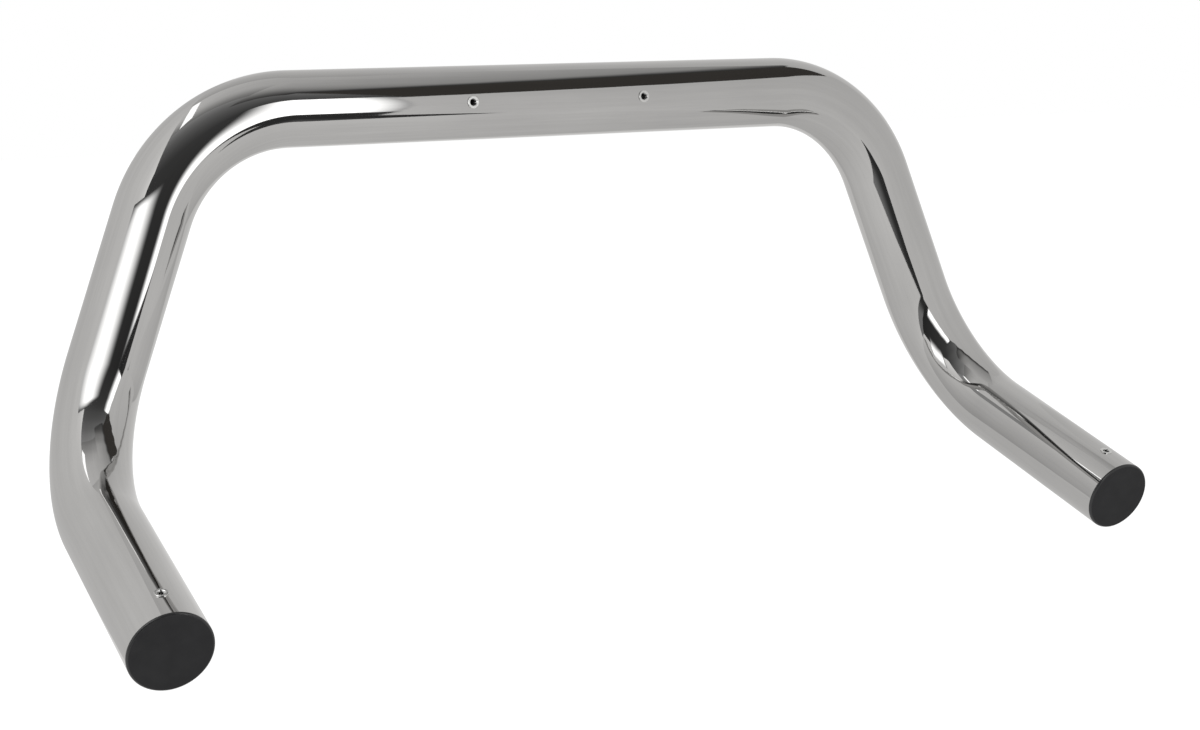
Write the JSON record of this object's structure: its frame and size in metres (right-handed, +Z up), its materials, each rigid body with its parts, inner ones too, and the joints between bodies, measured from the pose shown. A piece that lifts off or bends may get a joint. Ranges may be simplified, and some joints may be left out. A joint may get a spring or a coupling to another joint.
{
  "type": "grille guard",
  "caption": "Polished tube hoop with splayed legs and two ends kicked out of its plane, with threaded inserts in the crossbar and near each capped end.",
  "frame": {"origin": "midway between the two crossbar inserts, on the tube's surface", "axes": "+X along the crossbar, +Z up in the hoop's plane, -Y out of the crossbar inserts, which is the side that the two ends point to"},
  "size_m": [1.1174, 0.3502, 0.5205],
  "materials": {
    "tube": "polished stainless steel",
    "insert": "bright stainless steel, as formed",
    "cap": "satin moulded polyethylene"
  },
  "bodies": {
    "root": {"bent_tube": "tube", "end_cap_left": "cap", "end_cap_right": "cap", "crossbar_insert_left": "insert", "crossbar_insert_right": "insert", "end_insert_left": "insert", "end_insert_right": "insert"}
  },
  "joints": []
}
